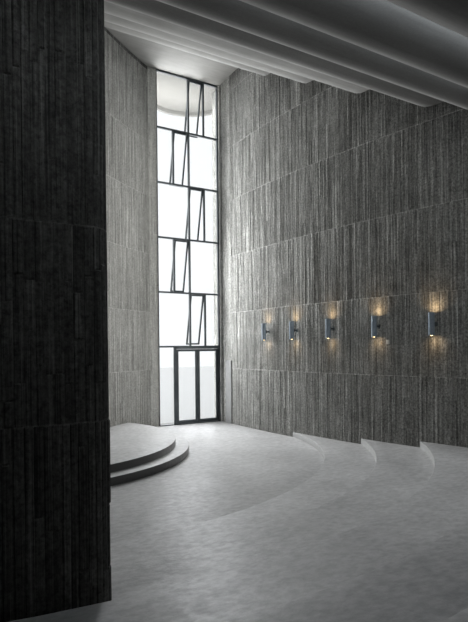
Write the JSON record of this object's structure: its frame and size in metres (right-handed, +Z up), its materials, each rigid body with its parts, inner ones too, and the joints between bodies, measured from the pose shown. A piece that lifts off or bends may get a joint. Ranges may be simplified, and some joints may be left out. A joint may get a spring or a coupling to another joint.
{
  "type": "modern church building",
  "caption": "Small modern church with curved board-marked concrete walls, a roof stepping down from a tall steel window, a glazed double door, a round dais and a tiered floor.",
  "frame": {"origin": "centre of the building's overall box, at the level of its flat underside", "axes": "+X runs to the right along the tall window as seen from inside, +Y points out through the tall window, +Z is up"},
  "size_m": [12.9612, 23.6614, 10.6],
  "materials": {
    "concrete": "grey board-marked concrete, rough, with lift joints",
    "plaster": "pale grey smooth render on the roof slabs",
    "cement": "trowelled light grey cement with a soft sheen",
    "steel": "dark blue-grey paint, satin",
    "glass": "clear",
    "lamp_metal": "satin blue-grey",
    "painted_panel": "matt grey paint",
    "switch_plastic": "white"
  },
  "bodies": {
    "building": {"right_wall_front": "concrete", "right_wall_middle": "concrete", "right_wall_rear": "concrete", "left_wall_front": "concrete", "left_wall_middle": "concrete", "left_wall_rear": "concrete", "rear_wall_1": "concrete", "rear_wall_2": "concrete", "rear_wall_3": "concrete", "rear_wall_4": "concrete", "tongue_wall": "concrete", "roof_front": "plaster", "roof_step_1": "plaster", "roof_step_2": "plaster", "roof_step_3": "plaster", "roof_step_4": "plaster", "roof_step_5": "plaster", "roof_step_6": "plaster", "roof_step_7": "plaster", "roof_strip_glass_1": "glass", "roof_strip_glass_2": "glass", "roof_strip_glass_3": "glass", "roof_strip_glass_4": "glass", "roof_strip_glass_5": "glass", "roof_strip_glass_6": "glass", "roof_strip_glass_7": "glass", "floor": "cement", "floor_tiers": "cement", "floor_platform": "cement", "dais": "cement", "window_frame": "steel", "window_glass": "glass", "window_sash_1": "steel", "window_sash_2": "steel", "window_sash_3": "steel", "window_sash_4": "steel", "window_sash_5": "steel", "side_screen_frame": "steel", "side_screen_glass": "glass", "wall_light_1": "lamp_metal", "wall_light_2": "lamp_metal", "wall_light_3": "lamp_metal", "wall_light_4": "lamp_metal", "wall_light_5": "lamp_metal", "service_panel": "painted_panel", "switch_box": "switch_plastic"},
    "left_leaf": {"door_leaf_left": "steel", "door_glass_left": "glass"},
    "right_leaf": {"door_leaf_right": "steel", "door_glass_right": "glass"}
  },
  "joints": [
    {"name": "left_door_hinge", "type": "hinge", "parent": "building", "child": "left_leaf", "pos_m": [3.08417, 9.58276, 0.2], "axis": [0, 0, 1], "range_deg": [0, 90]},
    {"name": "right_door_hinge", "type": "hinge", "parent": "building", "child": "right_leaf", "pos_m": [4.47316, 9.58276, 0.2], "axis": [0, 0, -1], "range_deg": [0, 90]}
  ]
}
